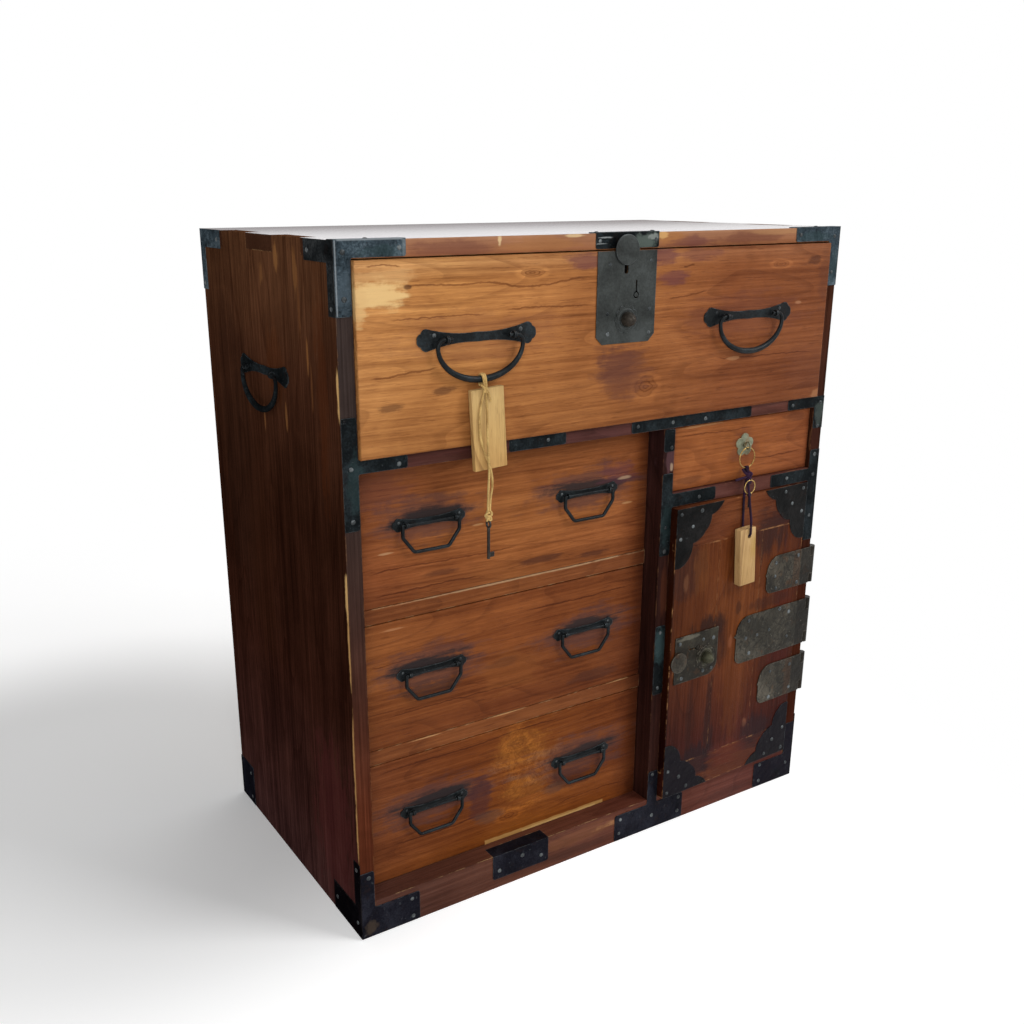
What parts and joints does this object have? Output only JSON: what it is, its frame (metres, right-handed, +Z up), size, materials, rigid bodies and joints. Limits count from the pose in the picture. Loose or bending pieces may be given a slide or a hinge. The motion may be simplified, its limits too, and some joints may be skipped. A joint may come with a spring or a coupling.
{
  "type": "clothing chest",
  "caption": "Upright wooden clothing chest with iron fittings: a wide locking drawer over small drawers on the left and a locking hinged door on the right.",
  "frame": {"origin": "middle of the footprint on the floor", "axes": "+X to the right as seen from the front, +Y to the back, +Z up"},
  "size_m": [0.7849, 0.4471, 0.8509],
  "materials": {
    "case_wood": "satin",
    "plain_wood": "matt",
    "front_wood": "satin",
    "black_iron": "satin",
    "worn_iron": "worn",
    "worn_brass": "worn",
    "tag_wood": "matt",
    "yellow_twine": "matt",
    "purple_cord": "matt"
  },
  "bodies": {
    "case": {"top_board": "case_wood", "left_side": "case_wood", "right_side": "case_wood", "floor_board": "plain_wood", "base_rail": "case_wood", "back_boards": "plain_wood", "upper_shelf": "case_wood", "divider": "case_wood", "right_shelf": "case_wood", "left_upper_shelf": "case_wood", "left_lower_shelf": "case_wood", "cupboard_shelf": "plain_wood", "corner_irons": "black_iron", "edge_straps": "black_iron", "base_irons": "black_iron", "side_handle_plates": "black_iron", "side_hinge_leaves": "worn_iron"},
    "left_side_bail": {"left_side_bail": "black_iron"},
    "right_side_bail": {"right_side_bail": "black_iron"},
    "wide_drawer": {"wide_drawer_front": "front_wood", "wide_drawer_box": "plain_wood", "wide_handle_plates": "black_iron", "wide_lock_plate": "worn_iron"},
    "wide_bail_left": {"wide_drawer_bail_left": "black_iron"},
    "wide_bail_right": {"wide_drawer_bail_right": "black_iron"},
    "wide_lock_disc": {"wide_lock_disc": "worn_iron"},
    "wide_lock_button": {"wide_lock_button": "worn_brass"},
    "small_drawer": {"small_drawer_front": "front_wood", "small_drawer_box": "plain_wood", "flower_plate": "worn_brass"},
    "small_drawer_key": {"small_drawer_key": "black_iron"},
    "fob": {"fob_rings": "worn_brass", "right_cord": "purple_cord", "right_fob": "tag_wood", "fob_key": "black_iron"},
    "tag": {"left_twine": "yellow_twine", "left_tag": "tag_wood", "left_key": "black_iron"},
    "door": {"door_boards": "front_wood", "door_clamps": "front_wood", "door_corner_irons": "black_iron", "door_hinge_leaves": "worn_iron", "door_lock_plate": "worn_iron"},
    "door_lock_disc": {"door_lock_disc": "worn_iron"},
    "door_lock_button": {"door_lock_button": "worn_brass"},
    "left_drawer_1": {"left_drawer_1_front": "front_wood", "left_drawer_1_box": "plain_wood", "left_drawer_1_handle_plates": "black_iron"},
    "left_drawer_1_bail_left": {"left_drawer_1_bail_left": "black_iron"},
    "left_drawer_1_bail_right": {"left_drawer_1_bail_right": "black_iron"},
    "left_drawer_2": {"left_drawer_2_front": "front_wood", "left_drawer_2_box": "plain_wood", "left_drawer_2_handle_plates": "black_iron"},
    "left_drawer_2_bail_left": {"left_drawer_2_bail_left": "black_iron"},
    "left_drawer_2_bail_right": {"left_drawer_2_bail_right": "black_iron"},
    "left_drawer_3": {"left_drawer_3_front": "front_wood", "left_drawer_3_box": "plain_wood", "left_drawer_3_handle_plates": "black_iron"},
    "left_drawer_3_bail_left": {"left_drawer_3_bail_left": "black_iron"},
    "left_drawer_3_bail_right": {"left_drawer_3_bail_right": "black_iron"}
  },
  "joints": [
    {"name": "wide_drawer_slide", "type": "slide", "parent": "case", "child": "wide_drawer", "axis": [0, -1, 0], "range_m": [0, 0.3]},
    {"name": "small_drawer_slide", "type": "slide", "parent": "case", "child": "small_drawer", "axis": [0, -1, 0], "range_m": [0, 0.28]},
    {"name": "left_drawer_1_slide", "type": "slide", "parent": "case", "child": "left_drawer_1", "axis": [0, -1, 0], "range_m": [0, 0.28]},
    {"name": "left_drawer_2_slide", "type": "slide", "parent": "case", "child": "left_drawer_2", "axis": [0, -1, 0], "range_m": [0, 0.28]},
    {"name": "left_drawer_3_slide", "type": "slide", "parent": "case", "child": "left_drawer_3", "axis": [0, -1, 0], "range_m": [0, 0.28], "deforming": ["left_twine", "left_tag", "left_key"]},
    {"name": "door_hinge", "type": "hinge", "parent": "case", "child": "door", "pos_m": [0.3865, -0.2057, 0.268], "axis": [0, 0, 1], "range_deg": [-2.2, 230], "deforming": ["fob_rings", "right_cord", "right_fob", "fob_key"]},
    {"name": "left_side_bail_hinge", "type": "hinge", "parent": "case", "child": "left_side_bail", "pos_m": [-0.388, 0.007, 0.689], "axis": [0, 1, 0], "range_deg": [0, 165]},
    {"name": "wide_bail_left_hinge", "type": "hinge", "parent": "wide_drawer", "child": "wide_bail_left", "pos_m": [-0.21, -0.224, 0.742], "axis": [-1, 0, 0], "range_deg": [0, 165]},
    {"name": "right_side_bail_hinge", "type": "hinge", "parent": "case", "child": "right_side_bail", "pos_m": [0.388, 0.007, 0.689], "axis": [0, -1, 0], "range_deg": [0, 165]},
    {"name": "wide_bail_right_hinge", "type": "hinge", "parent": "wide_drawer", "child": "wide_bail_right", "pos_m": [0.21, -0.224, 0.742], "axis": [-1, 0, 0], "range_deg": [0, 165]},
    {"name": "left_drawer_1_bail_left_hinge", "type": "hinge", "parent": "left_drawer_1", "child": "left_drawer_1_bail_left", "pos_m": [-0.25775, -0.187, 0.141], "axis": [-1, 0, 0], "range_deg": [0, 165]},
    {"name": "left_drawer_1_bail_right_hinge", "type": "hinge", "parent": "left_drawer_1", "child": "left_drawer_1_bail_right", "pos_m": [-0.02275, -0.187, 0.141], "axis": [-1, 0, 0], "range_deg": [0, 165]},
    {"name": "left_drawer_2_bail_left_hinge", "type": "hinge", "parent": "left_drawer_2", "child": "left_drawer_2_bail_left", "pos_m": [-0.25775, -0.187, 0.333], "axis": [-1, 0, 0], "range_deg": [0, 165]},
    {"name": "left_drawer_2_bail_right_hinge", "type": "hinge", "parent": "left_drawer_2", "child": "left_drawer_2_bail_right", "pos_m": [-0.02275, -0.187, 0.333], "axis": [-1, 0, 0], "range_deg": [0, 165]},
    {"name": "left_drawer_3_bail_left_hinge", "type": "hinge", "parent": "left_drawer_3", "child": "left_drawer_3_bail_left", "pos_m": [-0.25775, -0.187, 0.525], "axis": [-1, 0, 0], "range_deg": [0, 165]},
    {"name": "left_drawer_3_bail_right_hinge", "type": "hinge", "parent": "left_drawer_3", "child": "left_drawer_3_bail_right", "pos_m": [-0.02275, -0.187, 0.525], "axis": [-1, 0, 0], "range_deg": [0, 165]},
    {"name": "wide_lock_disc_slide", "type": "slide", "parent": "wide_drawer", "child": "wide_lock_disc", "axis": [0, 0, -1], "range_m": [0, 0.013]},
    {"name": "wide_lock_button_slide", "type": "slide", "parent": "wide_drawer", "child": "wide_lock_button", "axis": [0, 1, 0], "range_m": [0, 0.003], "stiffness_N_per_m": 400},
    {"name": "door_lock_disc_slide", "type": "slide", "parent": "door", "child": "door_lock_disc", "axis": [-0.9993, -0.0384, 0], "range_m": [0, 0.008]},
    {"name": "door_lock_button_slide", "type": "slide", "parent": "door", "child": "door_lock_button", "axis": [-0.0384, 0.9993, 0], "range_m": [0, 0.003], "stiffness_N_per_m": 400},
    {"name": "key_turn", "type": "hinge", "parent": "small_drawer", "child": "small_drawer_key", "pos_m": [0.2315, -0.2125, 0.561], "axis": [0, 1, 0], "range_deg": [-90, 0], "deforming": ["fob_rings", "right_cord", "right_fob", "fob_key"]},
    {"name": "fob_swing", "type": "hinge", "parent": "small_drawer", "child": "fob", "pos_m": [0.2315, -0.2125, 0.561], "axis": [-1, 0, 0], "range_deg": [0, 60]},
    {"name": "tag_swing", "type": "hinge", "parent": "wide_bail_left", "child": "tag", "pos_m": [-0.209, -0.224, 0.695], "axis": [-1, 0, 0], "range_deg": [-165, 0]}
  ],
  "couplings": [
    {"joint": "tag_swing", "follows": "wide_bail_left_hinge", "ratio": -1}
  ]
}
